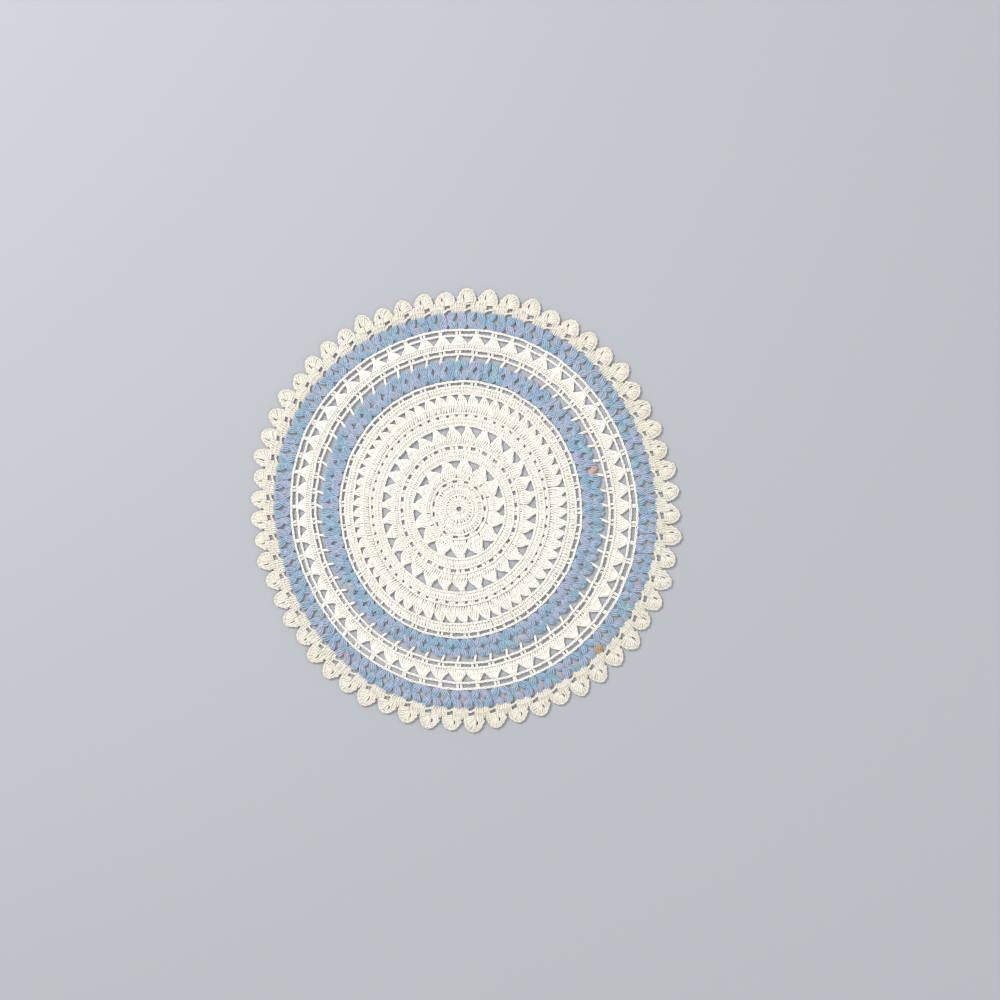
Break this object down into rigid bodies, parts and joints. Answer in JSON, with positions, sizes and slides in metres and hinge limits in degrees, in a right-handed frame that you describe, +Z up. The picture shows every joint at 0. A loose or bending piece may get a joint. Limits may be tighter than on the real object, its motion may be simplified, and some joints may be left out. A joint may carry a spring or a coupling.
{
  "type": "crocheted lace doily",
  "caption": "Round flat crocheted lace doily in white, light blue and ecru cotton bands, with wedge gaps, chain lines and an edging of small leaning lobes.",
  "frame": {"origin": "middle of the outline's bounding box, on the surface that the doily lies on", "axes": "+Z up, out of the face that is seen; +Y is the picture's up and +X its right, with the doily seen from straight above"},
  "size_m": [0.2576, 0.2664, 0.002],
  "materials": {
    "crochet_cotton": "matt mercerised crochet cotton: white rounds, two variegated light blue bands and an ecru edging"
  },
  "bodies": {
    "root": {"doily": "crochet_cotton"}
  },
  "joints": []
}
